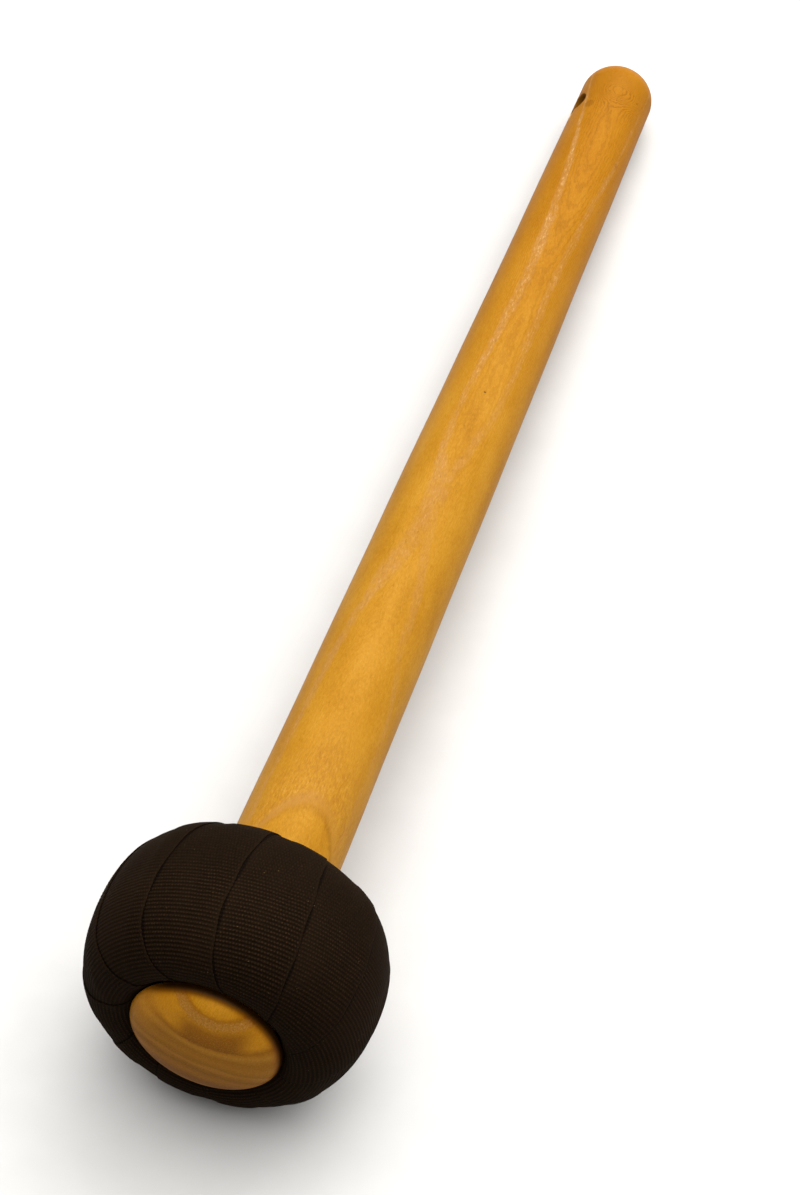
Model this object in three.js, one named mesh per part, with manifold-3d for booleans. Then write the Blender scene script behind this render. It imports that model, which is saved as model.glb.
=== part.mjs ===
// A padded gong beater, lying on its head and its tail, in millimetres with +Z up.
// The handle and its mushroom knob are turned from one piece of wood. A padded ring is pushed on from the
// tail, jams on the handle's taper behind the knob, and is bound with one elastic band wound through its
// bore.
// Stations run along the beater's axis from the ring's middle, positive toward the tail.
import * as THREE from 'three';
import { mergeVertices } from 'three/addons/utils/BufferGeometryUtils.js';
import Module from 'manifold-3d';

const wasm = await Module();
wasm.setup();

// Handle: knob, taper and tail
const handleLength = 469.5;
const knobRadius = 26.6;
const knobDome = 9;
const knobBack = 6;
const knobRimForward = 27;
const neckRadius = 20.4;
const tailRadius = 13.5;
const tailDome = 12.5;
const taperPower = 1.1;

// Hanging hole through the tail, its near mouth turned away from straight up
const holeRadius = 3.6;
const holeFlare = 0.4;
const holeFromTip = 24.7;
const holeTurn = THREE.MathUtils.degToRad(56);

// Ring: radius of its crests, depth on each side and fullness of each quarter
const crestRadius = 31.5;
const ringForward = 28.5;
const ringBackward = 31.8;
const forwardFullness = 2.1;
const backwardFullness = 2.4;
const boreFullness = 2.1;
const boreClearance = 0.5;

// Elastic band wound through the bore
const lapCount = 11;
const lapSteps = 24;
const lapGap = 0.6;
const bandThickness = 1.4;
const bandEndGap = 1;
const endAngle = THREE.MathUtils.degToRad(190);
const crossingStart = THREE.MathUtils.degToRad(100);
const crossingEnd = THREE.MathUtils.degToRad(180);
const restFlatDepth = 0.5;

// Layers inside the band
const wrapClearance = 0.6;
const wrapThickness = 1.5;
const wrapSeam = THREE.MathUtils.degToRad(1);
const layerGap = 0.3;
const sleeveWall = 4.2;
const rubberWall = 10.1;
const beltThickness = 5;
const coreForward = 16;
const coreBackward = 18;

// Facets
const handleFacets = 36;
const domeSteps = 7;
const taperSteps = 10;
const holeFacets = 20;
const mergeDistance = 1e-4;
const tangentStep = 0.01;
const slopeHalvings = 40;

const knobRimStation = -knobRimForward;
const tailTipStation = handleLength - knobRimForward - knobDome;
const tailRoundStation = tailTipStation - tailDome;
const neckStation = knobRimStation + knobBack * Math.sqrt(1 - (neckRadius / knobRadius) ** 2);
const lapPitch = (2 * Math.PI) / lapCount;
const lapStart = endAngle - 2 * Math.PI;

function handleRadius(station) {
  const share = (tailRoundStation - station) / (tailRoundStation - neckStation);
  return tailRadius + (neckRadius - tailRadius) * share ** taperPower;
}

// The ring is as wide as its layers make it. The band keeps its cross-section, so it is thicker in the bore
// than outside by as much as the bore is narrower.
const boreRadius = handleRadius(0) + boreClearance;
const wrapDepth = wrapClearance + wrapThickness;
const paddingDepth = wrapDepth + layerGap;
const paddingAcross = sleeveWall + layerGap + rubberWall + layerGap + beltThickness;
const layersAcross = bandThickness + paddingDepth + paddingAcross + paddingDepth;
const ringRadius = (boreRadius + layersAcross) / (1 - bandThickness / boreRadius);

function finish(color, roughness) {
  return new THREE.MeshStandardMaterial({ color, roughness, metalness: 0 });
}

// Solids
function toSolid(geometry) {
  const bare = geometry.clone();
  bare.deleteAttribute('normal');
  bare.deleteAttribute('uv');
  const merged = mergeVertices(bare, mergeDistance);
  const corners = merged.index.array;
  const kept = [];
  for (let i = 0; i < corners.length; i += 3) {
    const triangle = [corners[i], corners[i + 1], corners[i + 2]];
    if (new Set(triangle).size === 3) {
      kept.push(...triangle);
    }
  }
  return new wasm.Manifold(new wasm.Mesh({
    numProp: 3,
    vertProperties: Float32Array.from(merged.attributes.position.array),
    triVerts: Uint32Array.from(kept),
  }));
}

function toGeometry(solid) {
  const mesh = solid.getMesh();
  const geometry = new THREE.BufferGeometry();
  geometry.setAttribute('position', new THREE.BufferAttribute(mesh.vertProperties, 3));
  geometry.setIndex(new THREE.BufferAttribute(mesh.triVerts, 1));
  geometry.computeVertexNormals();
  return geometry;
}

function turned(profile, facets) {
  return toSolid(new THREE.LatheGeometry(profile, facets));
}

// Handle
function handleProfile() {
  const profile = [];
  for (let i = 0; i <= domeSteps; i += 1) {
    const angle = (i / domeSteps) * (Math.PI / 2);
    profile.push(new THREE.Vector2(
      knobRadius * Math.sin(angle),
      knobRimStation - knobDome * Math.cos(angle),
    ));
  }
  const underside = Math.acos(neckRadius / knobRadius);
  const undersideSteps = Math.ceil(domeSteps / 2);
  for (let i = 1; i < undersideSteps; i += 1) {
    const angle = (i / undersideSteps) * underside;
    profile.push(new THREE.Vector2(
      knobRadius * Math.cos(angle),
      knobRimStation + knobBack * Math.sin(angle),
    ));
  }
  for (let i = 0; i < taperSteps; i += 1) {
    const station = THREE.MathUtils.lerp(neckStation, tailRoundStation, i / taperSteps);
    profile.push(new THREE.Vector2(handleRadius(station), station));
  }
  for (let i = 0; i <= domeSteps; i += 1) {
    const angle = (i / domeSteps) * (Math.PI / 2);
    const radius = i < domeSteps ? tailRadius * Math.cos(angle) : 0;
    profile.push(new THREE.Vector2(radius, tailRoundStation + tailDome * Math.sin(angle)));
  }
  return profile;
}

function hangingHole() {
  const station = tailTipStation - holeFromTip;
  const surface = handleRadius(station);
  const reach = surface + holeRadius;
  const mouth = holeRadius + holeFlare;
  const profile = [
    new THREE.Vector2(0, -reach),
    new THREE.Vector2(mouth, -reach),
    new THREE.Vector2(mouth, -surface),
    new THREE.Vector2(holeRadius, -surface + holeFlare),
    new THREE.Vector2(holeRadius, surface - holeFlare),
    new THREE.Vector2(mouth, surface),
    new THREE.Vector2(mouth, reach),
    new THREE.Vector2(0, reach),
  ];
  const geometry = new THREE.LatheGeometry(profile, holeFacets);
  geometry.rotateX(Math.PI / 2);
  geometry.rotateY(-holeTurn);
  geometry.translate(0, station, 0);
  return toSolid(geometry);
}

function handle() {
  const blank = turned(handleProfile(), handleFacets);
  return toGeometry(blank.subtract(hangingHole()));
}

// Section of the ring: angle 0 is its widest point, 90 degrees its tail-side crest and 180 its bore
function sectionPoint(angle) {
  const outward = Math.cos(angle);
  const tailward = Math.sin(angle);
  let fullness = boreFullness;
  if (outward > 0) {
    fullness = tailward > 0 ? backwardFullness : forwardFullness;
  }
  const reach = outward > 0 ? ringRadius - crestRadius : crestRadius - boreRadius;
  const depth = tailward > 0 ? ringBackward : ringForward;
  return new THREE.Vector2(
    crestRadius + Math.sign(outward) * reach * Math.abs(outward) ** (2 / fullness),
    Math.sign(tailward) * depth * Math.abs(tailward) ** (2 / fullness),
  );
}

function sectionTangent(angle) {
  return sectionPoint(angle + tangentStep).sub(sectionPoint(angle - tangentStep)).normalize();
}

function insetPoint(angle, depth) {
  const tangent = sectionTangent(angle);
  const inward = new THREE.Vector2(-tangent.y, tangent.x);
  return sectionPoint(angle).addScaledVector(inward, depth);
}

function bandDepth(angle) {
  return (bandThickness * ringRadius) / sectionPoint(angle).x;
}

function lapAngles() {
  const angles = [];
  for (let i = 0; i < lapSteps; i += 1) {
    angles.push(lapStart + (i / lapSteps) * 2 * Math.PI);
  }
  return angles;
}

// Band: one unbroken flat tube, crossing to the next lap on its way in through the bore
function bandSection(step) {
  const lap = Math.min(Math.floor(step / lapSteps), lapCount - 1);
  const angle = lapStart + ((step - lap * lapSteps) / lapSteps) * 2 * Math.PI;
  const crossing = THREE.MathUtils.smoothstep(angle, crossingStart, crossingEnd);
  const middle = Math.PI + (lap + crossing) * lapPitch;
  const face = sectionPoint(angle);
  const back = insetPoint(angle, bandDepth(angle));
  let endShift = 0;
  if (step === 0) {
    endShift = bandEndGap / 2;
  }
  if (step === lapSteps * lapCount) {
    endShift = -bandEndGap / 2;
  }
  const shift = sectionTangent(angle).multiplyScalar(endShift);
  face.add(shift);
  back.add(shift);
  const halfWidth = (lapPitch - lapGap / face.x) / 2;
  const place = (point, turn) => new THREE.Vector3(
    point.x * Math.sin(middle + turn),
    point.y,
    point.x * Math.cos(middle + turn),
  );
  return [
    place(face, -halfWidth),
    place(face, 0),
    place(face, halfWidth),
    place(back, halfWidth),
    place(back, 0),
    place(back, -halfWidth),
  ];
}

function bandSections() {
  const sections = [];
  for (let step = 0; step <= lapSteps * lapCount; step += 1) {
    sections.push(bandSection(step));
  }
  return sections;
}

// Each four-cornered face of the band is split along its shorter diagonal
function bandTube(sections) {
  const sides = sections[0].length;
  const points = sections.flat();
  const corners = [];
  for (let i = 0; i + 1 < sections.length; i += 1) {
    for (let j = 0; j < sides; j += 1) {
      const here = i * sides + j;
      const beside = i * sides + ((j + 1) % sides);
      const ahead = here + sides;
      const across = beside + sides;
      if (points[here].distanceTo(points[across]) < points[ahead].distanceTo(points[beside])) {
        corners.push(here, across, ahead, here, beside, across);
      } else {
        corners.push(here, beside, ahead, beside, across, ahead);
      }
    }
  }
  const last = (sections.length - 1) * sides;
  const capTriangles = [[0, 1, 4], [0, 4, 5], [1, 2, 3], [1, 3, 4]];
  for (const [a, b, c] of capTriangles) {
    corners.push(a, c, b, last + a, last + b, last + c);
  }
  const geometry = new THREE.BufferGeometry();
  geometry.setFromPoints(points);
  geometry.setIndex(corners);
  return geometry;
}

// Least distance between points of the band that lie more than half a lap apart along it
function leastLapGap(sections) {
  const samples = [];
  sections.forEach((section, step) => {
    section.forEach((point, corner) => {
      samples.push({ step, point });
      if (step + 1 < sections.length) {
        const next = sections[step + 1][corner];
        samples.push({ step: step + 0.5, point: point.clone().lerp(next, 0.5) });
      }
    });
  });
  let least = Infinity;
  for (const here of samples) {
    for (const there of samples) {
      if (there.step - here.step > lapSteps / 2) {
        least = Math.min(least, here.point.distanceTo(there.point));
      }
    }
  }
  return least;
}

// Layers inside the band, all turned and split from the ring's own section
function layerProfile(angles, extraDepth) {
  return angles.map((angle) => insetPoint(angle, bandDepth(angle) + extraDepth));
}

function wrapCloth() {
  const angles = [-Math.PI + wrapSeam, ...lapAngles().slice(0, -1), Math.PI - wrapSeam];
  const outside = layerProfile(angles, wrapClearance);
  const inside = layerProfile(angles, wrapDepth).reverse();
  return toGeometry(turned([...outside, ...inside, outside[0]], 2 * lapCount));
}

function padding() {
  const profile = layerProfile(lapAngles(), paddingDepth);
  return turned([...profile, profile[0]], 2 * lapCount);
}

function ringZone(innerRadius, outerRadius, low, high) {
  const profile = [
    new THREE.Vector2(innerRadius, low),
    new THREE.Vector2(outerRadius, low),
    new THREE.Vector2(outerRadius, high),
    new THREE.Vector2(innerRadius, high),
    new THREE.Vector2(innerRadius, low),
  ];
  return turned(profile, 2 * lapCount);
}

const sleeveOuter = insetPoint(Math.PI, bandDepth(Math.PI) + paddingDepth).x + sleeveWall;
const beltInner = sleeveOuter + layerGap + rubberWall + layerGap;
const zones = {
  core_sleeve: ringZone(boreRadius, sleeveOuter, -coreForward, coreBackward),
  rubber_ring: ringZone(sleeveOuter + layerGap, beltInner - layerGap, -coreForward, coreBackward),
  felt_belt: ringZone(beltInner, ringRadius, -coreForward, coreBackward),
  felt_front: ringZone(boreRadius, ringRadius, -ringForward, -coreForward - layerGap),
  felt_back: ringZone(boreRadius, ringRadius, coreBackward + layerGap, ringBackward),
};

// How far below its axis a turned profile reaches, square to a surface that the axis slopes down to
function reachBelow(profile, slope) {
  const reaches = profile.map((point) => point.x * Math.cos(slope) + point.y * Math.sin(slope));
  return Math.max(...reaches);
}

// The slope at which the ring's flat and the tail touch the same surface, found by halving
function restSlope() {
  const ring = lapAngles().map((angle) => sectionPoint(angle));
  let low = 0;
  let high = Math.PI / 8;
  for (let i = 0; i < slopeHalvings; i += 1) {
    const middle = (low + high) / 2;
    const tailIsAbove = reachBelow(ring, middle) - restFlatDepth > reachBelow(handleProfile(), middle);
    if (tailIsAbove) {
      low = middle;
    } else {
      high = middle;
    }
  }
  return (low + high) / 2;
}

const slope = restSlope();
const axisHeight = reachBelow(handleProfile(), slope);
const beater = new THREE.Group();
beater.quaternion.setFromRotationMatrix(new THREE.Matrix4().makeBasis(
  new THREE.Vector3(0, -1, 0),
  new THREE.Vector3(Math.cos(slope), 0, -Math.sin(slope)),
  new THREE.Vector3(Math.sin(slope), 0, Math.cos(slope)),
));
beater.position.z = axisHeight;
beater.updateMatrixWorld(true);

// The winding is cut flat by the surface that it rests on
function coverBand() {
  const sections = bandSections();
  console.log(`least gap between the band's laps: ${leastLapGap(sections).toFixed(2)} mm`);
  const ground = new THREE.BoxGeometry(4 * ringRadius, 4 * ringRadius, ringRadius);
  ground.translate(0, 0, -ringRadius / 2);
  ground.applyMatrix4(beater.matrixWorld.clone().invert());
  return toGeometry(toSolid(bandTube(sections)).subtract(toSolid(ground)));
}

function add(name, geometry, material) {
  const mesh = new THREE.Mesh(geometry, material);
  mesh.name = name;
  beater.add(mesh);
}

const layerFinishes = {
  core_sleeve: finish(0xb98a4e, 0.7),
  rubber_ring: finish(0x2b2724, 0.85),
  felt_belt: finish(0x8d8274, 1),
  felt_front: finish(0x978b7b, 1),
  felt_back: finish(0x978b7b, 1),
};

add('handle', handle(), finish(0xd8983e, 0.45));
for (const [name, zone] of Object.entries(zones)) {
  add(name, toGeometry(padding().intersect(zone)), layerFinishes[name]);
}
add('wrap_cloth', wrapCloth(), finish(0xc9bfa8, 1));
add('cover_band', coverBand(), finish(0x211a14, 0.9));

// Origin under the middle of the whole beater, on the surface that it lies on
const box = new THREE.Box3().setFromObject(beater, true);
beater.position.x = -(box.min.x + box.max.x) / 2;
beater.position.y = -(box.min.y + box.max.y) / 2;

const part = new THREE.Group();
part.add(beater);

export default part;
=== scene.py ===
# A padded gong beater lying on its head and its tail: a turned wooden handle with a mushroom knob, and a
# padded ring bound with one elastic band. Metres, +Z up.
import math

import bmesh
import bpy
import numpy as np
from mathutils import Matrix, Vector


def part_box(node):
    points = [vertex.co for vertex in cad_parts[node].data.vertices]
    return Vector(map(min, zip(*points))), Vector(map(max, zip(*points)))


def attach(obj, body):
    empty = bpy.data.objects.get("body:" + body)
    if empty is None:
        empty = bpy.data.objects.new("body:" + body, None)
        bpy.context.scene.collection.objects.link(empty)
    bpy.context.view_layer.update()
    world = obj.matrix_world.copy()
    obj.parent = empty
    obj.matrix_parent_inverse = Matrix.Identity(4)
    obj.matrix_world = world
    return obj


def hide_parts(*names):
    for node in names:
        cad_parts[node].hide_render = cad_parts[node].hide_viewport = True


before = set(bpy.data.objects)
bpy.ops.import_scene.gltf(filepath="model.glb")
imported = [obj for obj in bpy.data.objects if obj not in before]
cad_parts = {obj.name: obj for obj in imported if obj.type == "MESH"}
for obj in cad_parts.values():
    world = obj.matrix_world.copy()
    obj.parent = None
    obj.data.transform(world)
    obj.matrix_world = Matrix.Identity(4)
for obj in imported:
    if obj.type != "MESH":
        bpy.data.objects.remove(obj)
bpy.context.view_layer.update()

MM = 0.001

# Handle, as its solid has it, but with the hole's mouth eased further
HANDLE_LENGTH = 469.5 * MM
KNOB_RADIUS = 26.6 * MM
KNOB_DOME = 9 * MM
KNOB_BACK = 6 * MM
KNOB_RIM_FORWARD = 27 * MM
NECK_RADIUS = 20.4 * MM
TAIL_RADIUS = 13.5 * MM
TAIL_DOME = 12.5 * MM
TAPER_POWER = 1.1
HOLE_RADIUS = 3.6 * MM
HOLE_FLARE = 0.9 * MM
HOLE_FROM_TIP = 24.7 * MM
HOLE_TURN = math.radians(-56)

# Flake broken out of the hole's mouth on its head side: its half sizes and its place
CHIP_RADIUS = 1.3 * MM
CHIP_REACH = 2.6 * MM
CHIP_FROM_HOLE = 5.2 * MM
CHIP_OUT = 0.55 * MM
CHIP_TURN = HOLE_TURN - math.radians(10)

# Ring, as its solids have it
RING_RADIUS = 50.03 * MM
CREST_RADIUS = 31.5 * MM
RING_FORWARD = 28.5 * MM
RING_BACKWARD = 31.8 * MM
FORWARD_FULLNESS = 2.1
BACKWARD_FULLNESS = 2.4
BORE_FULLNESS = 2.1
BORE_CLEARANCE = 0.5 * MM
CAD_BAND = 1.4 * MM
REST_FLAT = 0.5 * MM
WRAP_CLEARANCE = 0.6 * MM
WRAP_THICKNESS = 1.5 * MM
LAYER_GAP = 0.3 * MM
PADDING_DEPTH = WRAP_CLEARANCE + WRAP_THICKNESS + LAYER_GAP
SLEEVE_WALL = 4.2 * MM
RUBBER_WALL = 10.1 * MM
CORE_FORWARD = 16 * MM
CORE_BACKWARD = 18 * MM

# Cotton cloth round the padding
WRAP_SEAM = 0.03
GATHERS = 44
GATHER_HEIGHT = 0.25 * MM
YARN_PITCH = 0.7 * MM

# Padding: round of its corners, and the station from which its outline is drawn in
PADDING_CORNER = 0.8 * MM
PADDING_MIDDLE = 1.5 * MM

# Elastic band; each lap climbs onto the next one within RAMP, a share of its width
LAPS = 11
BAND_WIDTH = 33 * MM
BAND_THICKNESS = 0.42 * MM
RIB_PITCH = 1.4 * MM
RIB_HEIGHT = 0.22 * MM
RIB_STEPS = 5
SELVAGE = 0.9 * MM
BEAD_PITCH = 1.05 * MM
CROSSING_START = math.radians(100)
CROSSING_END = math.radians(180)
LAP_START = math.radians(-170)
RIBBED_TO = math.radians(128)
RAMP = 0.10
FACET_SAG = 0.10 * MM
LUMP_HEIGHT = 0.04 * MM
LUMP_WAVES = 7
EDGE_WANDER = 0.25 * MM

# By lap, in degrees: shift along the ring, lean of its edges, and tilt of its ribs
LAP_SHIFTS = (3.5, 2.0, 3.0, 2.4, 0.6, -0.5, -2.4, -2.1, -1.0, 0.5, 3.0)
LAP_LEANS = (1.0, -1.5, 0.5, -2.0, -4.5, -2.0, 3.0, 3.5, 1.0, -1.0, 2.0)
RIB_TILTS = (2.0, -1.0, 3.0, 0.0, 0.0, 1.0, 8.0, 11.0, 6.0, 2.0, 4.0)

TAIL_TIP = HANDLE_LENGTH - KNOB_RIM_FORWARD - KNOB_DOME
TAIL_ROUND = TAIL_TIP - TAIL_DOME
NECK = -KNOB_RIM_FORWARD + KNOB_BACK * math.sqrt(1 - (NECK_RADIUS / KNOB_RADIUS) ** 2)
HOLE_STATION = TAIL_TIP - HOLE_FROM_TIP

# How finely the shapes are made
KNOB_STEPS = 31
UNDERSIDE_STEPS = 9
TAPER_STEPS = 220
TAIL_STEPS = 25
MOUTH_STEPS = 7
HANDLE_SEGMENTS = 160
HOLE_SEGMENTS = 48
CHIP_STEPS = 13
CHIP_SEGMENTS = 20
WRAP_ROWS = 97
WRAP_COLUMNS = 132
PADDING_STEP = 1.2 * MM
PADDING_SEGMENTS = 96
CORNER_STEPS = 6
BAND_TOP_POINTS = 17
BORE_STEP = 1.5 * MM
RING_SAMPLES = 721
ROUND_SAMPLES = 14401
SLOPE_HALVINGS = 40
STEEPEST = math.pi / 8
SHARP_EDGE = math.radians(50)

rng = np.random.default_rng(7)


# Profiles: radius and station, the station counted along the axis from the ring's middle to the tail
def handle_radius(station):
    share = (TAIL_ROUND - station) / (TAIL_ROUND - NECK)
    return TAIL_RADIUS + (NECK_RADIUS - TAIL_RADIUS) * share**TAPER_POWER


BORE_RADIUS = handle_radius(0) + BORE_CLEARANCE


def handle_profile():
    rows = []
    for angle in np.linspace(0, math.pi / 2, KNOB_STEPS):
        rows.append((KNOB_RADIUS * math.sin(angle), -KNOB_RIM_FORWARD - KNOB_DOME * math.cos(angle)))
    underside = math.acos(NECK_RADIUS / KNOB_RADIUS)
    for angle in np.linspace(0, underside, UNDERSIDE_STEPS)[1:-1]:
        rows.append((KNOB_RADIUS * math.cos(angle), -KNOB_RIM_FORWARD + KNOB_BACK * math.sin(angle)))
    for station in np.linspace(NECK, TAIL_ROUND, TAPER_STEPS)[:-1]:
        rows.append((handle_radius(station), station))
    for angle in np.linspace(0, math.pi / 2, TAIL_STEPS):
        rows.append((TAIL_RADIUS * math.cos(angle), TAIL_ROUND + TAIL_DOME * math.sin(angle)))
    return np.array(rows)


# Section of the ring: angle 0 is its widest point, 90 degrees its tail-side crest and 180 its bore
def ring_section(angle):
    outward, tailward = np.cos(angle), np.sin(angle)
    outer_fullness = np.where(tailward > 0, BACKWARD_FULLNESS, FORWARD_FULLNESS)
    fullness = np.where(outward > 0, outer_fullness, BORE_FULLNESS)
    reach = np.where(outward > 0, RING_RADIUS - CREST_RADIUS, CREST_RADIUS - BORE_RADIUS)
    depth = np.where(tailward > 0, RING_BACKWARD, RING_FORWARD)
    radius = CREST_RADIUS + np.sign(outward) * reach * np.abs(outward) ** (2 / fullness)
    station = np.sign(tailward) * depth * np.abs(tailward) ** (2 / fullness)
    return np.stack([radius, station], axis=-1)


def ring_normal(angle, step=0.01):
    run = ring_section(angle + step) - ring_section(angle - step)
    run /= np.linalg.norm(run, axis=-1, keepdims=True)
    return np.stack([run[..., 1], -run[..., 0]], axis=-1)


# Place of the beater: it lies on the ring's flat and on its tail
def reach_below(profile, slope):
    return (profile[:, 0] * math.cos(slope) + profile[:, 1] * math.sin(slope)).max()


def rest_slope(handle, ring):
    low, high = 0.0, STEEPEST
    for _ in range(SLOPE_HALVINGS):
        middle = (low + high) / 2
        if reach_below(ring, middle) - REST_FLAT > reach_below(handle, middle):
            low = middle
        else:
            high = middle
    return (low + high) / 2


def placement():
    handle = handle_profile()
    ring = ring_section(np.linspace(-math.pi, math.pi, RING_SAMPLES))
    slope = rest_slope(handle, ring)
    ends = handle[:, 1] * math.cos(slope)
    lean = handle[:, 0] * math.sin(slope)
    low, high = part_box("handle")
    x = (low[0] + high[0]) / 2 - ((ends + lean).max() + (ends - lean).min()) / 2
    return Matrix((
        (0, math.cos(slope), math.sin(slope), x),
        (-1, 0, 0, 0),
        (0, -math.sin(slope), math.cos(slope), reach_below(handle, slope)),
        (0, 0, 0, 1),
    ))


BEATER = placement()


def new_object(name, data):
    made = bpy.data.objects.new(name, data)
    bpy.context.scene.collection.objects.link(made)
    return made


def new_mesh(name, points, faces):
    mesh = bpy.data.meshes.new(name)
    mesh.from_pydata([tuple(p) for p in points], [], [tuple(f) for f in faces])
    return mesh


# Meshes, in the beater's own axes: X to the side, Y along the axis to the tail, Z up from it
def new_piece(name, points, faces):
    mesh = new_mesh(name, points, faces)
    mesh.shade_smooth()
    mesh.update()
    mesh.transform(BEATER)
    piece = new_object(name, mesh)
    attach(piece, "root")
    return piece


def spun(radius, station, turn):
    return np.stack([radius * np.sin(turn), station + 0 * turn, radius * np.cos(turn)], axis=-1)


def lathe(profile, segments, closed=False, wobble=None):
    """Turns a profile: a closed one makes a ring, an open one has both ends on the axis."""
    turns = np.arange(segments) * 2 * math.pi / segments
    points, rings = [], []
    for radius, station in profile:
        if not closed and radius < 1e-9:
            rings.append([len(points)] * segments)
            points.append((0.0, station, 0.0))
            continue
        radii = radius + (wobble(station, turns) * min(1, radius / KNOB_RADIUS * 2) if wobble else 0)
        rings.append(list(range(len(points), len(points) + segments)))
        points.extend(spun(radii, station, turns))
    faces = []
    count = len(rings)
    for i in range(count if closed else count - 1):
        here, ahead = rings[i], rings[(i + 1) % count]
        for j in range(segments):
            k = (j + 1) % segments
            corners = [here[j], ahead[j], ahead[k], here[k]]
            faces.append([c for n, c in enumerate(corners) if c not in corners[:n]])
    return points, faces


def cut(piece, tool):
    """Cuts the tool out of a piece and removes the tool."""
    modifier = piece.modifiers.new("cut", "BOOLEAN")
    modifier.operation = "DIFFERENCE"
    modifier.solver = "EXACT"
    modifier.object = tool
    bpy.context.view_layer.update()
    shown = piece.evaluated_get(bpy.context.evaluated_depsgraph_get())
    mesh = bpy.data.meshes.new_from_object(shown)
    piece.modifiers.clear()
    old, piece.data = piece.data, mesh
    bpy.data.meshes.remove(old)
    bpy.data.objects.remove(tool)


# Node materials
class Surface:
    """A material's node tree, with one short call for each kind of node."""

    def __init__(self, name):
        self.material = bpy.data.materials.new(name)
        self.material.use_nodes = True
        self.tree = self.material.node_tree
        self.shader = next(n for n in self.tree.nodes if n.type == "BSDF_PRINCIPLED")

    def node(self, kind, inputs=(), **settings):
        made = self.tree.nodes.new(kind)
        for key, value in settings.items():
            setattr(made, key, value)
        for key, value in dict(inputs).items():
            self.put(made.inputs[key], value)
        return made

    def put(self, socket, value):
        if isinstance(value, bpy.types.NodeSocket):
            self.tree.links.new(value, socket)
        else:
            socket.default_value = value

    def math(self, operation, *values):
        return self.node("ShaderNodeMath", enumerate(values), operation=operation).outputs[0]

    def add(self, a, b):
        return self.math("ADD", a, b)

    def minus(self, a, b):
        return self.math("SUBTRACT", a, b)

    def times(self, a, b):
        return self.math("MULTIPLY", a, b)

    def apart(self, a, b):
        return self.math("ABSOLUTE", self.minus(a, b))

    def swing(self, value, reach):
        """Makes a value about one half, such as a noise, swing to both sides of 0."""
        return self.times(self.minus(value, 0.5), reach)

    def wave(self, share):
        """1 at each whole number and 0 halfway between two."""
        return self.add(self.times(self.math("COSINE", self.times(share, 2 * math.pi)), 0.5), 0.5)

    def remap(self, value, low, high, to_low=0.0, to_high=1.0, kind="SMOOTHSTEP"):
        inputs = {0: value, 1: low, 2: high, 3: to_low, 4: to_high}
        return self.node("ShaderNodeMapRange", inputs, interpolation_type=kind).outputs[0]

    def axes(self, vector):
        return self.node("ShaderNodeSeparateXYZ", {0: vector}).outputs

    def vector(self, x, y, z):
        return self.node("ShaderNodeCombineXYZ", {0: x, 1: y, 2: z}).outputs[0]

    def stretched(self, vector, x, y, z):
        return self.node("ShaderNodeVectorMath", {0: vector, 1: (x, y, z)}, operation="MULTIPLY").outputs[0]

    def noise(self, vector, scale, detail=2.0, roughness=0.5, distortion=0.0):
        inputs = dict(Vector=vector, Scale=scale, Detail=detail, Roughness=roughness, Distortion=distortion)
        return self.node("ShaderNodeTexNoise", inputs).outputs[0]

    def cells(self, vector, scale):
        return self.node("ShaderNodeTexVoronoi", {"Vector": vector, "Scale": scale}).outputs

    def mix(self, share, a, b, blend="MIX"):
        made = self.node("ShaderNodeMix", data_type="RGBA", blend_type=blend)
        self.put(made.inputs[0], share)
        self.put(made.inputs[6], a)
        self.put(made.inputs[7], b)
        return made.outputs[2]

    def ramp(self, value, stops, kind="LINEAR"):
        """Colours by a value from 0 to 1."""
        made = self.node("ShaderNodeValToRGB", {0: value})
        made.color_ramp.interpolation = kind
        elements = made.color_ramp.elements
        while len(elements) < len(stops):
            elements.new(0.5)
        for element, (place, colour) in zip(elements, stops):
            element.position = place
            element.color = colour
        return made.outputs[0]

    def curve(self, value, points):
        """A curve through points, from 0 to 1 both ways."""
        made = self.node("ShaderNodeFloatCurve", {1: value})
        line = made.mapping.curves[0]
        while len(line.points) < len(points):
            line.points.new(0.5, 0.5)
        for point, place in zip(line.points, points):
            point.location = place
        made.mapping.update()
        return made.outputs[0]

    def bump(self, height, distance, strength, normal=None):
        made = self.node("ShaderNodeBump", {"Height": height, "Distance": distance, "Strength": strength})
        if normal is not None:
            self.put(made.inputs["Normal"], normal)
        return made.outputs[0]

    def place(self):
        """The beater's own axes, in millimetres."""
        inputs = {
            "Vector": self.node("ShaderNodeTexCoord").outputs["Object"],
            "Location": BEATER.to_translation(),
            "Rotation": BEATER.to_euler(),
        }
        own = self.node("ShaderNodeMapping", inputs, vector_type="TEXTURE").outputs[0]
        return self.node("ShaderNodeVectorMath", {0: own, 3: 1 / MM}, operation="SCALE").outputs[0]

    def finish(self, **sockets):
        """Sets the shader's sockets by name and gives the material."""
        for name, value in sockets.items():
            self.put(self.shader.inputs[name.replace("_", " ")], value)
        return self.material


def grey(value):
    return (value, value, value, 1.0)


def tone(red, green, blue):
    """A colour given as a picture shows it, 0 to 255."""
    def linear(c):
        c /= 255
        return c / 12.92 if c <= 0.04045 else ((c + 0.055) / 1.055) ** 2.4
    return (linear(red), linear(green), linear(blue), 1.0)


# Wood of the handle: growth layers lie nearly flat to the side that is up, so their edges run out on it in
# long points and arches
GRAIN_TURN = math.radians(12.9)
LAYER_RANGE = (-25.0, 20.0)
FINE_LAYER = 0.42

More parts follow.
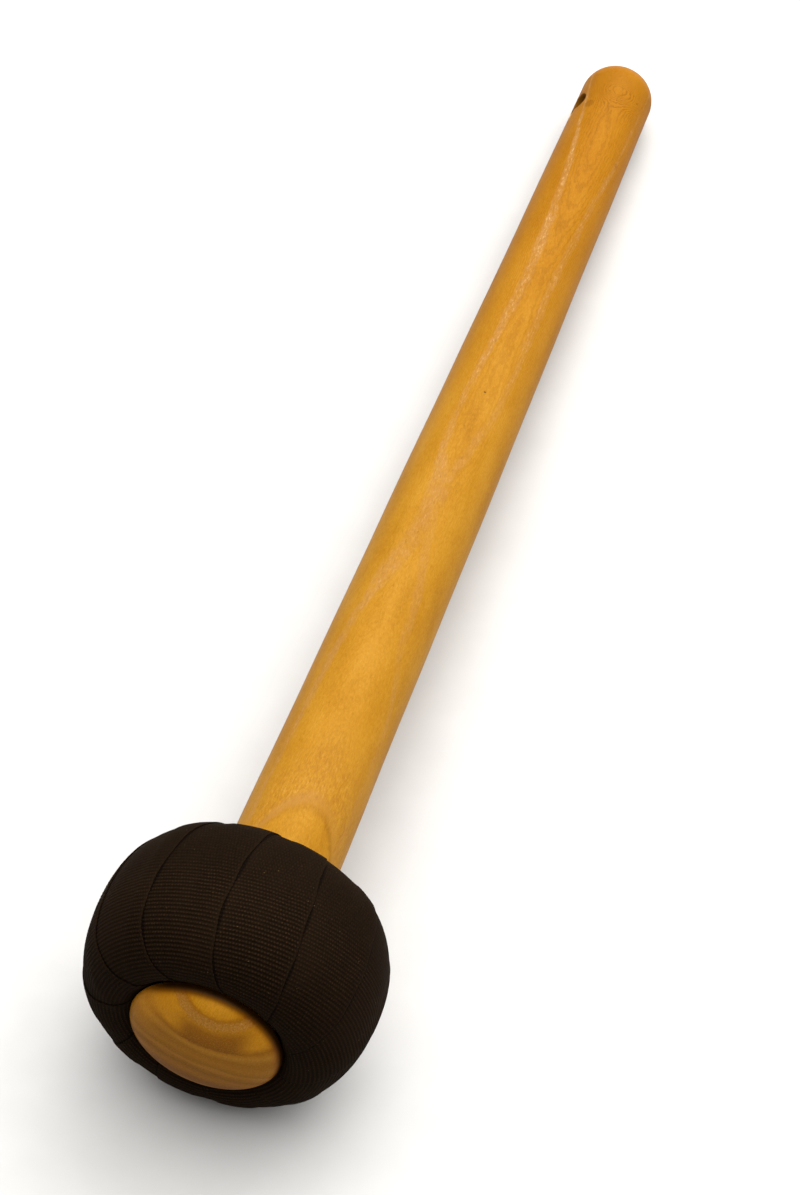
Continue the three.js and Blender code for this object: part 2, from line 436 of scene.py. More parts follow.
# Station, and how high one growth layer lies above the axis there, in millimetres
DRIFT_SPAN = (-40.0, 440.0)
DRIFT_HEIGHT = 20.0
DRIFT = (
    (-40, 4.5), (-35, 6.9), (-30, 9.7), (-15, 10.5), (20, 8.0), (47, 8.6), (63, 10.9), (90, 12.8),
    (110, 13.4), (138, 15.4), (160, 16.7), (184, 17.0), (207, 16.5), (229, 15.1), (255, 14.5),
    (290, 14.2), (310, 14.0), (331, 13.05), (355, 12.1), (385, 11.2), (396, 11.2), (403, 11.2),
    (408, 10.5), (411, 9.0), (414, 8.2), (417, 9.0), (420, 10.8), (426, 14.2), (440, 19.0),
)

# Pale porous streaks on the side that is up: station, turn from straight up in degrees, half width
STREAK_SPAN = (60.0, 420.0)
MOST_TURN = 70.0
MOST_WIDTH = 5.0
DEGREE_MM = 0.28
LEFT_STREAK = (
    (60, -44, 0.9), (108, -36, 1.3), (137, -29, 1.7), (154, -19, 2.1), (172, -7, 3.4), (189, 2, 3.0),
    (206, 2, 3.2), (225, -11, 1.8), (243, -14, 1.6), (262, -12, 1.6), (281, -8, 1.7), (308, -4, 2.2),
    (338, -5, 2.1), (357, -11, 1.6), (376, -17, 1.3), (395, -29, 1.0), (420, -47, 0.6),
)
RIGHT_STREAK = (
    (60, 68, 0.8), (103, 65, 1.0), (120, 54, 1.4), (137, 40, 1.8), (154, 36, 2.0), (172, 24, 2.0),
    (189, 15, 1.6), (206, 12, 1.8), (225, 20, 1.6), (243, 32, 1.6), (262, 36, 1.7), (299, 36, 1.9),
    (318, 36, 1.8), (338, 41, 1.6), (357, 45, 1.4), (376, 54, 1.0), (420, 66, 0.5),
)

# Arch just above the ring: station and turn of its crown, and how fast its legs fall back
ARCH_STATION = 59.0
ARCH_TURN = 21.0
ARCH_BEND = 0.0078

# Stations between which one look gives way to another
AGEING_SPAN = (180.0, 430.0)
LINES_SPAN = (160.0, 360.0)
TAIL_LINES_SPAN = (400.0, 409.0)
STRONGER_SPAN = (190.0, 290.0)
LIGHTER_SPAN = (200.0, 310.0)
FACE_SPAN = (-24.0, -27.5)
RIM_SHADOW_SPAN = (-31.4, -27.2)
RIM_SHADOW_SIDE = 0.6
RIM_SHADOW_UP = 0.8
FACE_REACH = 28.0


def by_station(s, y, span, rows, most):
    """A value that follows rows of station and value along the axis, each from 0 to the most."""
    low, high = span
    share = s.remap(y, low, high, kind="LINEAR")
    points = [((station - low) / (high - low), value / most) for station, value in rows]
    return s.times(s.curve(share, points), most)


def layer_field(s, place):
    """How far a point lies above the growth layer that DRIFT gives, in millimetres."""
    x, y, z = s.axes(place)
    toward = s.add(s.times(x, math.sin(GRAIN_TURN)), s.times(z, math.cos(GRAIN_TURN)))
    drift = by_station(s, y, DRIFT_SPAN, DRIFT, DRIFT_HEIGHT)
    sway = s.swing(s.noise(s.stretched(place, 0.05, 0.012, 0.05), 1.0, 3.0, 0.55), 2.0)
    return s.add(s.minus(toward, drift), sway)


def streak(s, y, turn, ragged, line):
    """1 within a streak and 0 outside it, with a ragged edge."""
    turns = [(station, angle + MOST_TURN) for station, angle, _ in line]
    widths = [(station, width) for station, _, width in line]
    middle = s.minus(by_station(s, y, STREAK_SPAN, turns, 2 * MOST_TURN), MOST_TURN)
    width = by_station(s, y, STREAK_SPAN, widths, MOST_WIDTH)
    off = s.times(s.apart(turn, middle), DEGREE_MM)
    return s.remap(s.math("DIVIDE", s.add(off, ragged), width), 1.3, 0.4)


def knob_figure(s, x, z, base):
    """The growth rings as the knob's face cuts them: arcs that open upward above its middle. Painted shade
    darkens its lower half.
    """
    side, up = math.sin(GRAIN_TURN), math.cos(GRAIN_TURN)
    toward = s.add(s.times(x, side), s.times(z, up))
    across = s.minus(s.times(x, up), s.times(z, side))
    plane = s.vector(across, 1.0, toward)
    square = s.math("POWER", s.add(across, 1.5), 2.0)
    drawn_out = s.remap(toward, 4.0, -6.0, 1.8, 5.5)
    sway = s.swing(s.noise(s.stretched(plane, 0.10, 3.0, 0.35), 1.0, 3.0, 0.55), drawn_out)
    crumble = s.noise(s.stretched(plane, 0.9, 8.0, 0.9), 1.0, 4.0, 0.7)
    lifted = s.add(toward, s.add(sway, s.swing(crumble, 2.0)))
    opened = s.add(s.times(square, 0.0016), 1.0)
    upper = s.math("DIVIDE", s.math("MAXIMUM", lifted, 0.0), opened)
    arcs = s.add(upper, s.math("MINIMUM", lifted, 0.0))
    share = s.remap(arcs, -FACE_REACH, FACE_REACH, kind="LINEAR")
    # Besides the rings, these colours darken toward the bottom as painted shade, and the lowest stop is a
    # painted reflection along the knob's lower edge
    rings = s.ramp(share, [
        (0.02, tone(146, 94, 20)), (0.12, tone(122, 74, 8)), (0.17, tone(100, 55, 2)),
        (0.21, tone(102, 56, 2)), (0.30, tone(132, 82, 14)), (0.36, tone(112, 66, 4)),
        (0.42, tone(146, 95, 26)), (0.445, tone(124, 77, 8)), (0.50, tone(142, 92, 20)),
        (0.55, tone(130, 81, 12)), (0.59, tone(160, 108, 32)), (0.607, tone(150, 96, 20)),
        (0.622, tone(112, 63, 2)), (0.66, tone(122, 70, 2)), (0.735, tone(134, 80, 4)),
        (0.782, tone(166, 108, 16)), (0.80, tone(166, 111, 40)), (0.843, tone(160, 107, 38)),
        (0.854, tone(150, 91, 4)), (0.875, tone(188, 126, 18)), (0.965, tone(210, 146, 38)),
    ])
    # Golden at both ends of the arcs and at the far left
    ends = s.remap(s.apart(across, 2.0), 7.0, 15.0)
    golden = s.times(ends, s.times(s.remap(arcs, 5.5, 9.5), s.remap(arcs, 16.8, 15.2)))
    rings = s.mix(s.times(golden, 0.9), rings, tone(192, 128, 18))
    far_left = s.times(s.remap(across, -13.0, -22.0), s.remap(toward, -2.0, 8.0))
    rings = s.mix(s.times(far_left, 0.6), rings, tone(184, 121, 24))
    # Open pores, most of them along the ring round the bright middle
    holes = s.noise(s.stretched(plane, 1.5, 9.0, 1.5), 1.0, 3.0, 0.65)
    porous = s.times(s.remap(arcs, 14.5, 16.5), s.remap(arcs, 20.0, 19.0))
    dark_share = s.times(s.remap(holes, 0.54, 0.66), s.remap(porous, 0.0, 1.0, 0.12, 0.6, "LINEAR"))
    rings = s.mix(dark_share, rings, tone(100, 60, 20))
    pale_share = s.times(s.remap(holes, 0.46, 0.36), s.remap(porous, 0.0, 1.0, 0.06, 0.5, "LINEAR"))
    rings = s.mix(pale_share, rings, tone(190, 146, 90))
    # Rays, and light specks all over
    rays = s.noise(s.stretched(plane, 2.2, 5.0, 0.5), 1.0, 3.0, 0.6)
    rings = s.mix(s.remap(rays, 0.35, 0.65, 0.0, 0.25), rings, tone(106, 66, 8))
    speck = s.noise(s.stretched(plane, 2.0, 1.0, 2.0), 1.0, 4.0, 0.8)
    rings = s.mix(s.remap(speck, 0.50, 0.66, 0.0, 0.3), rings, tone(196, 148, 66))
    return s.mix(0.94, base, rings)


def spot(s, x, y, z, station, turn, size):
    """Over 1 in the middle of a mark at a station and a turn from straight up, under 0 beyond its size."""
    radius = handle_radius(station * MM) / MM
    dx = s.minus(x, radius * math.sin(turn))
    dy = s.minus(y, station)
    dz = s.minus(z, radius * math.cos(turn))
    far = s.node("ShaderNodeVectorMath", {0: s.vector(dx, dy, dz)}, operation="LENGTH").outputs["Value"]
    return s.remap(far, size, size * 0.2, -0.4, 1.2, "LINEAR")


def golden_wood():
    s = Surface("golden_wood")
    place = s.place()
    x, y, z = s.axes(place)
    layer = layer_field(s, place)
    share = s.remap(layer, *LAYER_RANGE, kind="LINEAR")

    # Broad growth layers, clouds and a fine mottle
    broad = s.ramp(share, [
        (0.00, grey(0.50)), (0.12, grey(0.42)), (0.25, grey(0.56)), (0.36, grey(0.45)), (0.47, grey(0.58)),
        (0.60, grey(0.44)), (0.70, grey(0.55)), (0.78, grey(0.46)), (0.88, grey(0.58)), (1.00, grey(0.46)),
    ], "B_SPLINE")
    cloud = s.noise(s.stretched(place, 0.12, 0.035, 0.12), 1.0, 3.0, 0.6)
    mottle = s.noise(s.stretched(place, 1.6, 0.7, 1.6), 1.0, 4.0, 0.75)
    depth = s.add(s.times(broad, 0.35), s.add(s.times(cloud, 0.45), s.times(mottle, 0.55)))
    base = s.ramp(depth, [
        (0.42, tone(134, 85, 14)), (0.58, tone(151, 103, 22)), (0.70, tone(161, 113, 28)),
        (0.90, tone(172, 126, 44)),
    ])
    # The tail end is deeper orange than the head end
    ageing = s.remap(y, *AGEING_SPAN, 0.0, 0.75)
    base = s.mix(ageing, base, tone(240, 219, 140), "MULTIPLY")
    base = s.mix(s.times(ageing, 0.3), base, tone(150, 94, 8))

    # Fine growth lines
    wavy = s.noise(s.stretched(place, 0.7, 0.35, 0.7), 1.0, 3.0, 0.6)
    fine = s.math("SINE", s.times(s.add(layer, s.times(wavy, 0.7)), 2 * math.pi / FINE_LAYER))
    fine_depth = s.add(s.remap(y, *LINES_SPAN, 0.08, 0.34), s.remap(y, *TAIL_LINES_SPAN, 0.0, 0.36))
    fine_depth = s.times(fine_depth, s.remap(mottle, 0.35, 0.6, 0.5, 1.2))
    fine_share = s.times(s.remap(fine, 0.0, 1.0), fine_depth)
    base = s.mix(fine_share, base, tone(118, 70, 6))

    # Pale porous streaks where two of the layers run out
    flecks = s.noise(s.stretched(place, 1.6, 0.40, 1.6), 1.1, 4.0, 0.7)
    wandering = s.noise(s.stretched(place, 0.5, 0.09, 0.5), 1.0, 3.0, 0.6)
    ragged = s.add(s.times(flecks, 2.4), s.add(s.times(wandering, 3.4), -2.9))
    turn = s.times(s.math("ARCTAN2", x, z), 180 / math.pi)
    left = streak(s, y, turn, ragged, LEFT_STREAK)
    right = streak(s, y, turn, ragged, RIGHT_STREAK)
    uneven_places = s.noise(s.stretched(place, 0.05, 0.03, 0.05), 1.0, 2.0)
    broken = s.noise(s.stretched(place, 0.3, 0.2, 0.3), 1.0, 3.0, 0.6)
    strength = s.times(s.remap(uneven_places, 0.3, 0.6, 0.6, 1.0), s.remap(y, *STRONGER_SPAN, 0.75, 1.0))
    strength = s.times(strength, s.remap(broken, 0.38, 0.56, 0.5, 1.1))
    pale = s.times(s.math("MAXIMUM", left, s.times(right, 0.55)), strength)
    base = s.mix(s.times(pale, 0.75), base, tone(156, 112, 58))
    clustered = s.add(flecks, s.swing(mottle, 0.7))
    light_flecks = s.times(s.remap(clustered, 0.52, 0.68), pale)
    light_flecks = s.times(light_flecks, s.remap(y, *LIGHTER_SPAN, 0.35, 0.75))
    base = s.mix(light_flecks, base, tone(186, 148, 94))
    dark_flecks = s.times(s.remap(flecks, 0.44, 0.34), pale)
    base = s.mix(s.times(dark_flecks, 0.5), base, tone(116, 73, 26))

    # An arch just above the ring, with a porous field over it
    spread = s.math("POWER", s.minus(turn, ARCH_TURN), 2.0)
    arch = s.add(s.minus(y, ARCH_STATION), s.add(s.times(spread, ARCH_BEND), ragged))
    arch_pale = s.remap(s.apart(arch, 3.8), 5.0, 0.6)
    arch_dark = s.times(s.remap(s.math("ABSOLUTE", arch), 3.0, 0.2), s.remap(flecks, 0.35, 0.6, 0.5, 1.0))
    upper = s.remap(s.apart(turn, ARCH_TURN), 75.0, 45.0)
    field = s.times(s.times(s.remap(arch, 46.0, 10.0), s.remap(arch, 2.0, 8.0)), upper)
    right_leg = s.remap(turn, 0.0, 45.0)
    pale_leg = s.times(s.times(arch_pale, upper), s.minus(0.65, s.times(right_leg, 0.35)))
    base = s.mix(pale_leg, base, tone(150, 106, 50))
    dark_leg = s.times(s.times(arch_dark, upper), s.add(s.times(right_leg, 0.35), 0.15))
    base = s.mix(dark_leg, base, tone(114, 70, 16))
    field_flecks = s.times(field, s.remap(flecks, 0.48, 0.62))
    base = s.mix(s.times(field_flecks, 0.6), base, tone(136, 90, 36))
    field_light = s.times(field, s.remap(clustered, 0.44, 0.34))
    base = s.mix(s.times(field_light, 0.4), base, tone(184, 140, 70))

    # The knob's face
    face = s.remap(y, *FACE_SPAN)
    base = s.mix(face, base, knob_figure(s, x, z, base))

    # Fibres: short fine lines along the grain
    fibres = s.noise(s.stretched(place, 4.0, 0.5, 4.0), 1.0, 3.0, 0.7)
    base = s.mix(s.remap(fibres, 0.46, 0.64, 0.0, 0.12), base, tone(184, 136, 54))
    base = s.mix(s.remap(fibres, 0.50, 0.34, 0.0, 0.12), base, tone(118, 72, 8))

    # Pores: short dark flecks along the grain
    pores = s.remap(s.noise(s.stretched(place, 2.6, 0.30, 2.6), 1.0, 2.0, 0.6), 0.63, 0.74)
    base = s.mix(s.times(pores, 0.38), base, tone(96, 58, 8))

    # Marks: a pin knot, a dark dot, stains, the dark round the hanging hole and the raw chip beside it
    ragged_edge = s.swing(flecks, 1.2)
    for station, angle, size, opacity, colour in (
        (253.9, 9.2, 0.75, 0.8, tone(60, 32, 6)), (413.5, 47.6, 0.8, 0.5, tone(110, 56, 10)),
        (405.0, -27.0, 3.4, 0.45, tone(112, 66, 10)), (382.0, 57.0, 1.6, 0.4, tone(124, 68, 8)),
        (409.0, -60.0, 8.0, 0.6, tone(80, 45, 10)), (403.2, -66.0, 2.6, 0.9, tone(196, 160, 92)),
        (400.8, -67.0, 2.2, 0.7, tone(186, 146, 78)),
    ):
        inside = s.add(spot(s, x, y, z, station, math.radians(angle), size), ragged_edge)
        base = s.mix(s.times(s.remap(inside, 0.25, 0.75), opacity), base, colour)

    # Painted shade on the handle inside the ring and just past it toward the tail, and a painted shadow on
    # the knob's upper edge where the ring hangs over it
    ring_shade = s.times(s.remap(y, 44.0, 30.0), s.remap(y, -24.0, -20.0))
    base = s.mix(s.times(ring_shade, 0.5), base, tone(128, 76, 26), "MULTIPLY")
    out = s.math("SQRT", s.add(s.times(x, x), s.times(z, z)))
    upward = s.math("DIVIDE", s.add(s.times(x, RIM_SHADOW_SIDE), s.times(z, RIM_SHADOW_UP)), out)
    # Painted shadow of the ring over the knob's upper edge, from dark amber to near black
    rim_shadow = s.times(s.times(s.remap(y, *RIM_SHADOW_SPAN), s.remap(upward, -0.2, 0.5)), face)
    base = s.mix(s.remap(rim_shadow, 0.0, 0.6, 0.0, 0.75), base, tone(116, 62, 0))
    base = s.mix(s.remap(rim_shadow, 0.2, 1.0, 0.0, 0.96), base, tone(26, 12, 0))

    grain_bump = s.add(s.times(pores, -1.0), s.times(flecks, 0.25))
    normal = s.bump(grain_bump, 0.00005, 0.5)
    uneven = s.noise(s.stretched(place, 0.2, 0.05, 0.2), 1.0, 2.0)
    normal = s.bump(uneven, 0.0004, 0.35, normal)
    roughness = s.add(s.remap(flecks, 0.3, 0.7, 0.38, 0.48), s.times(pale, 0.08))
    return s.finish(
        Base_Color=base, Roughness=roughness, Normal=normal, Coat_Weight=0.02, Coat_Roughness=0.25,
        Coat_IOR=1.5, Specular_IOR_Level=0.02,
    )


def black_elastic():
    s = Surface("black_elastic")
    winding = s.node("ShaderNodeAttribute", attribute_name="winding").outputs["Vector"]
    across, along, _ = s.axes(winding)
    rib_share = s.math("DIVIDE", along, RIB_PITCH / MM)
    rib = s.wave(rib_share)
    # Each row of beads lies half a bead further on than the last
    row = s.math("FLOOR", s.add(rib_share, 0.5))
    bead = s.wave(s.add(s.math("DIVIDE", across, BEAD_PITCH / MM), s.math("FRACT", s.times(row, 0.5))))
    grain = s.noise(s.stretched(winding, 1.4, 1.0, 9.0), 1.6, 3.0, 0.65)
    # The ribs show on the head's front and most in its middle
    side, station, _ = s.axes(s.place())
    off_middle = s.remap(s.math("ABSOLUTE", side), 38.0, 12.0, 0.7, 1.0)
    ribbed = s.times(s.remap(station, 13.0, -3.0, 0.06, 1.0), off_middle)
    beads = s.times(rib, s.add(s.times(bead, 0.55), 0.45))
    flat_knit = s.add(s.times(s.times(bead, s.add(s.times(rib, 0.4), 0.3)), 0.6), 0.15)
    knit = s.mix(ribbed, flat_knit, beads)
    speckle = s.noise(s.stretched(winding, 1.0, 1.2, 5.0), 1.5, 3.0, 0.8)
    lightness = s.add(s.times(knit, 0.32), s.add(s.times(grain, 0.38), s.times(speckle, 0.50)))
    base = s.ramp(lightness, [
        (0.30, tone(9, 5, 2)), (0.52, tone(18, 11, 5)), (0.70, tone(32, 21, 11)), (0.90, tone(60, 42, 25)),
    ])
    patch = s.noise(s.stretched(winding, 0.05, 0.03, 1.0), 1.0, 2.0)
    base = s.mix(s.times(s.remap(patch, 0.4, 0.7), 0.3), base, tone(30, 20, 11))
    selvage = s.times(s.remap(across, 1.05, 0.7), s.remap(across, 0.0, 0.2))
    base = s.mix(s.times(selvage, 0.45), base, tone(27, 18, 9))
    # Painted shadow in the crease along the edge of the lap on top
    beyond_cover = s.node("ShaderNodeAttribute", attribute_name="beyond_cover").outputs["Fac"]
    crease_shadow = s.remap(beyond_cover, 1.0, 0.3)
    base = s.mix(s.times(crease_shadow, 0.7), base, tone(5, 3, 2))

    # Lint: a few light specks
    spots = s.cells(s.stretched(winding, 1.0, 1.0, 7.3), 0.42)
    near = s.remap(spots["Distance"], 0.085, 0.03)
    chosen = s.remap(s.axes(spots["Color"])[0], 0.66, 0.7)
    lint = s.times(near, chosen)
    base = s.mix(s.times(lint, 0.5), base, tone(120, 98, 66))
    normal = s.bump(s.add(s.times(knit, 0.6), s.times(grain, 0.5)), 0.00016, 0.6)
    return s.finish(
        Base_Color=base, Roughness=0.88, Normal=normal, Specular_IOR_Level=0.02, Sheen_Weight=0.02,
        Sheen_Roughness=0.45, Sheen_Tint=tone(150, 106, 64),
    )


def felt():
    s = Surface("felt")
    place = s.place()
    fibres = s.noise(place, 1.6, 5.0, 0.7, 1.5)
    clumps = s.noise(place, 0.25, 2.0)
    base = s.ramp(s.add(s.times(fibres, 0.6), s.times(clumps, 0.4)), [
        (0.3, tone(104, 95, 82)), (0.5, tone(141, 130, 114)), (0.7, tone(178, 166, 148)),
    ])
    normal = s.bump(fibres, 0.0005, 0.8)
    return s.finish(Base_Color=base, Roughness=0.95, Normal=normal, Sheen_Weight=0.3)


def core_rubber():
    s = Surface("core_rubber")
    place = s.place()
    crumbs = s.cells(place, 0.8)
    grain = s.noise(place, 2.5, 3.0)
    base = s.ramp(s.add(s.times(crumbs["Distance"], 0.6), s.times(grain, 0.4)), [
        (0.2, tone(30, 27, 24)), (0.6, tone(52, 46, 41)), (0.9, tone(74, 66, 58)),
    ])
    return s.finish(Base_Color=base, Roughness=0.8, Normal=s.bump(crumbs["Distance"], 0.0004, 0.6))


def sleeve_wood():
    s = Surface("sleeve_wood")
    grain = s.noise(s.stretched(s.place(), 0.04, 0.6, 0.6), 1.0, 4.0, 0.6, 0.6)
    base = s.ramp(grain, [(0.3, tone(164, 118, 66)), (0.5, tone(190, 144, 88)), (0.7, tone(206, 164, 110))])
    return s.finish(Base_Color=base, Roughness=0.6, Normal=s.bump(grain, 0.0002, 0.4))


def cotton():
    s = Surface("cotton")
    weave = s.node("ShaderNodeAttribute", attribute_name="winding").outputs["Vector"]
    across, along, _ = s.axes(weave)
    turns = 2 * math.pi * MM / YARN_PITCH
    warp, weft = [s.math("SINE", s.times(way, turns)) for way in (across, along)]
    cross = s.math("ABSOLUTE", s.times(warp, weft))
    fuzz = s.noise(weave, 0.8, 3.0)
    base = s.ramp(s.add(s.times(cross, 0.5), s.times(fuzz, 0.5)), [
        (0.2, tone(160, 148, 124)), (0.5, tone(196, 184, 158)), (0.8, tone(222, 212, 188)),
    ])
    return s.finish(Base_Color=base, Roughness=0.9, Normal=s.bump(cross, 0.0002, 0.7), Sheen_Weight=0.2)


# Handle
def turned_wobble(station, turns):
    """A hand-turned piece is out of true by a tenth of a millimetre or so."""
    slow = 0.07 * math.sin(station / MM * 0.031 + 1.0) + 0.05 * math.sin(station / MM * 0.083 + 2.4)
    oval = 0.06 * np.cos(2 * turns + station / MM * 0.012)
    return (slow + oval - 0.08) * MM


def hole_profile():
    """The hole with both its mouths, standing a little proud of the handle at each."""
    surface = handle_radius(HOLE_STATION)
    reach = surface + 3 * HOLE_RADIUS
    proud = 0.1 * MM
    near_half = []
    for angle in np.linspace(0, math.pi / 2, MOUTH_STEPS):
        radius = HOLE_RADIUS + HOLE_FLARE * (1 - math.cos(angle))
        near_half.append((radius, surface - HOLE_FLARE * (1 - math.sin(angle)) + proud))
    near_half += [(HOLE_RADIUS + 2 * HOLE_FLARE, reach), (0.0, reach)]
    return [(radius, -height) for radius, height in near_half[::-1]] + near_half


def new_tool(name, points, faces, matrix):
    """A closed mesh to cut with, its faces all outward."""
    mesh = new_mesh(name, points, faces)
    made = bmesh.new()
    made.from_mesh(mesh)
    bmesh.ops.recalc_face_normals(made, faces=made.faces)
    made.to_mesh(mesh)
    made.free()
    tool = new_object(name, mesh)
    tool.matrix_world = matrix
    return tool


def hole_tool():
    points, faces = lathe(hole_profile(), HOLE_SEGMENTS)
    there = BEATER @ Matrix.Translation((0, HOLE_STATION, 0))
    square_to_axis = there @ Matrix.Rotation(HOLE_TURN, 4, "Y") @ Matrix.Rotation(math.pi / 2, 4, "X")
    return new_tool("hole", points, faces, square_to_axis)


def chip_tool():
    angles = np.linspace(0, math.pi, CHIP_STEPS)
    profile = [(CHIP_RADIUS * math.sin(a), -CHIP_REACH * math.cos(a)) for a in angles]
    points, faces = lathe(profile, CHIP_SEGMENTS)
    out = handle_radius(HOLE_STATION) + CHIP_OUT
    place = (out * math.sin(CHIP_TURN), HOLE_STATION - CHIP_FROM_HOLE, out * math.cos(CHIP_TURN))
    return new_tool("chip", points, faces, BEATER @ Matrix.Translation(place))


def make_handle():
    points, faces = lathe(handle_profile(), HANDLE_SEGMENTS, wobble=turned_wobble)
    piece = new_piece("turned_handle", points, faces)
    cut(piece, hole_tool())
    cut(piece, chip_tool())
    piece.data.shade_smooth()
    piece.data.set_sharp_from_angle(angle=SHARP_EDGE)
    piece.data.materials.clear()
    piece.data.materials.append(golden_wood())
    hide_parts("handle")


# Elastic band: one unbroken ribbon of overlapping laps, each lap's free edge on top of the next lap
def smoothstep(value, low, high):
    share = np.clip((value - low) / (high - low), 0, 1)
    return share * share * (3 - 2 * share)


def lap_edge(lap):
    """Turn of a lap's free edge where the ring is widest, for any whole number of a lap."""
    return math.pi + (lap + 0.5) * 2 * math.pi / LAPS + np.take(np.radians(LAP_SHIFTS), lap % LAPS)


def lap_middle(lap, angle):
    """Turn of a lap's middle line; behind the ring each lap crosses over to where the next begins."""
    crossing = smoothstep(angle, CROSSING_START, CROSSING_END)
    half = BAND_WIDTH / RING_RADIUS / 2
    middle = (lap_edge(lap) - half) * (1 - crossing) + (lap_edge(lap + 1) - half) * crossing
    station = ring_section(angle)[..., 1]
    shown = smoothstep(np.abs(angle), math.radians(150), math.radians(110))
    lean = np.take(np.radians(LAP_LEANS), lap % LAPS)
    return middle - lean * shown * station / RING_BACKWARD


def outline_facets(turn):
    """The band lies flatter across each lap's width than the round ring under it."""
    edges = np.sort(np.mod(lap_edge(np.arange(LAPS)), 2 * math.pi))
    edges = np.concatenate([[edges[-1] - 2 * math.pi], edges, [edges[0] + 2 * math.pi]])
    wrapped = np.mod(turn, 2 * math.pi)
    index = np.searchsorted(edges, wrapped) - 1
    share = (wrapped - edges[index]) / (edges[index + 1] - edges[index])
    return FACET_SAG * ((2 * share - 1) ** 2 - 0.4)


def winding_angles():
    """Angles round the section, RIB_STEPS to a rib where it is ribbed, and the length along it."""
    fine = np.linspace(LAP_START, LAP_START + 2 * math.pi, ROUND_SAMPLES)
    run = np.linalg.norm(np.diff(ring_section(fine), axis=0), axis=1)
    length = np.concatenate([[0], np.cumsum(run)])
    first, last = np.interp([-RIBBED_TO, RIBBED_TO], fine, length)
    into = np.linspace(0, first, int(first / BORE_STEP) + 2)[:-1]
    ribbed = np.arange(first, last, RIB_PITCH / RIB_STEPS)
    out = np.linspace(last, length[-1], int((length[-1] - last) / BORE_STEP) + 2)
    lengths = np.concatenate([into, ribbed, out])
    return np.interp(lengths, length, fine), lengths


def band_columns():
    """The ribbon's cross-section: distance from the free edge, and height as a share of its thickness."""
    width = BAND_WIDTH / MM
    inner = np.linspace(2.2, width - 1.2, BAND_TOP_POINTS)[::-1]
    top = [(width, 0.5), (width - 0.25, 0.93)] + [(y, 1.0) for y in inner]
    top += [(1.25, 1.0), (0.9, 1.01), (0.5, 1.05), (0.12, 0.9), (0.0, 0.5)]
    under = [(0.15, 0.06), (1.2, 0.0), (width * 0.33, 0.0), (width * 0.66, 0.0), (width - 1.2, 0.0)]
    under += [(width - 0.2, 0.07)]
    return np.array(top + under)


